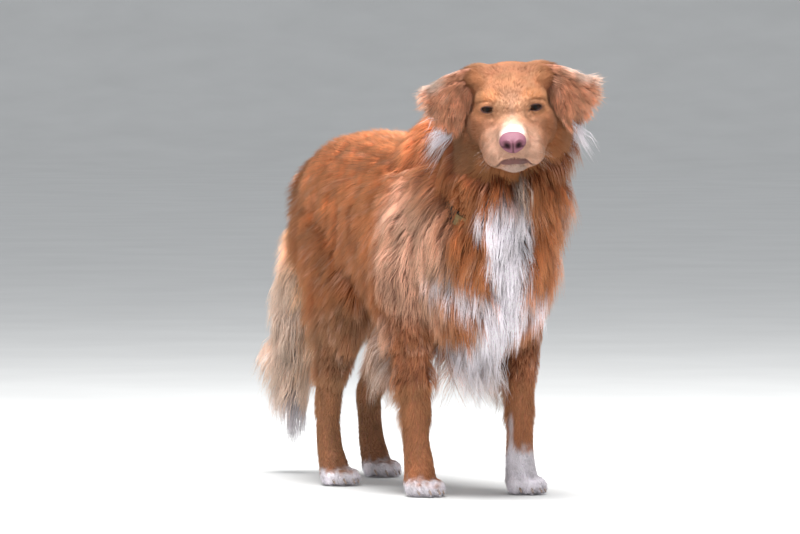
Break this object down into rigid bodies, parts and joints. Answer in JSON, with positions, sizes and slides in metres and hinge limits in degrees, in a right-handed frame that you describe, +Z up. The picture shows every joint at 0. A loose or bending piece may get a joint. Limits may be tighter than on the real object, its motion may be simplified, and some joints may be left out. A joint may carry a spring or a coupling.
{
  "type": "standing dog, duck tolling retriever, still life-size model",
  "caption": "Life-size standing medium retriever with a long coat, head turned to its right, drop ears, white bib and toes, and a hanging plumed tail.",
  "frame": {"origin": "on the floor under the middle of the dog's bounding box, soles at z = 0", "axes": "+Z up, the dog faces -Y with its tail towards +Y, +X towards the dog's left side"},
  "size_m": [0.256, 0.8396, 0.625],
  "materials": {
    "coat_red": "long red-gold outer coat of fine locks, paler at the tips",
    "coat_pale": "long buff feathering of the tail with a white tip",
    "coat_white": "short white fur of the toes with red above",
    "nose_leather": "moist pebbled pink-brown nose skin",
    "eye": "wet dark brown eye with a clear cornea",
    "claw_horn": "smooth pale brown horn",
    "collar_web": "narrow black woven webbing",
    "brass": "small plain brass buckle plate, lightly worn"
  },
  "bodies": {
    "root": {"collar_band": "collar_web", "collar_buckle": "brass", "ear_left": "coat_red", "ear_right": "coat_red", "eye_left": "eye", "eye_right": "eye", "front_left_claw_1": "claw_horn", "front_left_claw_2": "claw_horn", "front_left_claw_3": "claw_horn", "front_left_claw_4": "claw_horn", "front_leg_left": "coat_red", "front_leg_right": "coat_red", "front_paw_left": "coat_white", "front_paw_right": "coat_white", "front_right_claw_1": "claw_horn", "front_right_claw_2": "claw_horn", "front_right_claw_3": "claw_horn", "front_right_claw_4": "claw_horn", "head": "coat_red", "hind_left_claw_1": "claw_horn", "hind_left_claw_2": "claw_horn", "hind_left_claw_3": "claw_horn", "hind_left_claw_4": "claw_horn", "hind_leg_left": "coat_red", "hind_leg_right": "coat_red", "hind_paw_left": "coat_white", "hind_paw_right": "coat_white", "hind_right_claw_1": "claw_horn", "hind_right_claw_2": "claw_horn", "hind_right_claw_3": "claw_horn", "hind_right_claw_4": "claw_horn", "neck_lower": "coat_red", "neck_upper": "coat_red", "nose": "nose_leather", "tail": "coat_pale", "thigh_left": "coat_red", "thigh_right": "coat_red", "trunk": "coat_red"}
  },
  "joints": []
}
